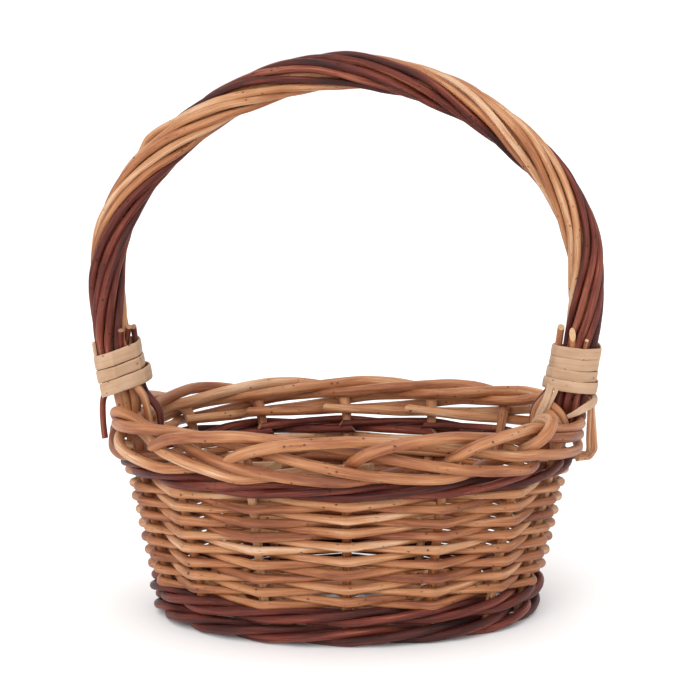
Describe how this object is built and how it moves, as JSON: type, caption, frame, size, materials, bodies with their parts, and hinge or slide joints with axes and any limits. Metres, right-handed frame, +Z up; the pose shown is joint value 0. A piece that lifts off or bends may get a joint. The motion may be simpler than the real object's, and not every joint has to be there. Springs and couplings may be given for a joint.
{
  "type": "mushroom foraging basket",
  "caption": "Oval stake-and-strand willow basket with dark bands at foot and rim, a rolled border and a fixed, roped bow handle bound on with split cane.",
  "frame": {"origin": "on the ground under the middle of the basket", "axes": "+Z up, X along the span of the handle, +Y from the front to the back"},
  "size_m": [0.2572, 0.1824, 0.2819],
  "materials": {
    "light_willow": "buff willow, peeled, satin",
    "dark_willow": "dark stained willow, satin",
    "pale_cane": "split cane, smooth, pale"
  },
  "bodies": {
    "root": {"base_long_stick_1": "light_willow", "base_long_stick_2": "light_willow", "base_long_stick_3": "light_willow", "base_short_stick_1": "light_willow", "base_short_stick_2": "light_willow", "base_short_stick_3": "light_willow", "base_weaver_1": "light_willow", "base_weaver_2": "light_willow", "foot_wale_rod_1": "dark_willow", "foot_wale_rod_2": "dark_willow", "foot_wale_rod_3": "dark_willow", "handle_bow": "light_willow", "handle_rod_dark_1": "dark_willow", "handle_rod_dark_2": "dark_willow", "handle_rod_dark_3": "dark_willow", "handle_rod_dark_4": "dark_willow", "handle_rod_dark_5": "dark_willow", "handle_rod_light_1": "light_willow", "handle_rod_light_2": "light_willow", "handle_rod_light_3": "light_willow", "handle_rod_light_4": "light_willow", "handle_rod_light_5": "light_willow", "left_handle_binding": "pale_cane", "left_handle_stay": "dark_willow", "randing_row_01": "light_willow", "randing_row_02": "light_willow", "randing_row_03": "light_willow", "randing_row_04": "light_willow", "randing_row_05": "light_willow", "randing_row_06": "light_willow", "randing_row_07": "light_willow", "randing_row_08": "light_willow", "randing_row_09": "light_willow", "randing_row_10": "light_willow", "randing_row_11": "light_willow", "randing_row_12": "light_willow", "randing_row_13": "light_willow", "randing_row_14": "light_willow", "randing_row_15": "light_willow", "randing_row_16": "light_willow", "right_handle_binding": "pale_cane", "right_handle_stay_back": "dark_willow", "right_handle_stay_front": "light_willow", "stake_01": "light_willow", "stake_02": "light_willow", "stake_03": "light_willow", "stake_04": "light_willow", "stake_06": "light_willow", "stake_07": "light_willow", "stake_08": "light_willow", "stake_09": "light_willow", "stake_10": "light_willow", "stake_11": "light_willow", "stake_12": "light_willow", "stake_14": "light_willow", "stake_15": "light_willow", "stake_16": "light_willow", "top_wale_rod_1": "dark_willow", "top_wale_rod_2": "dark_willow", "top_wale_rod_3": "dark_willow"}
  },
  "joints": []
}
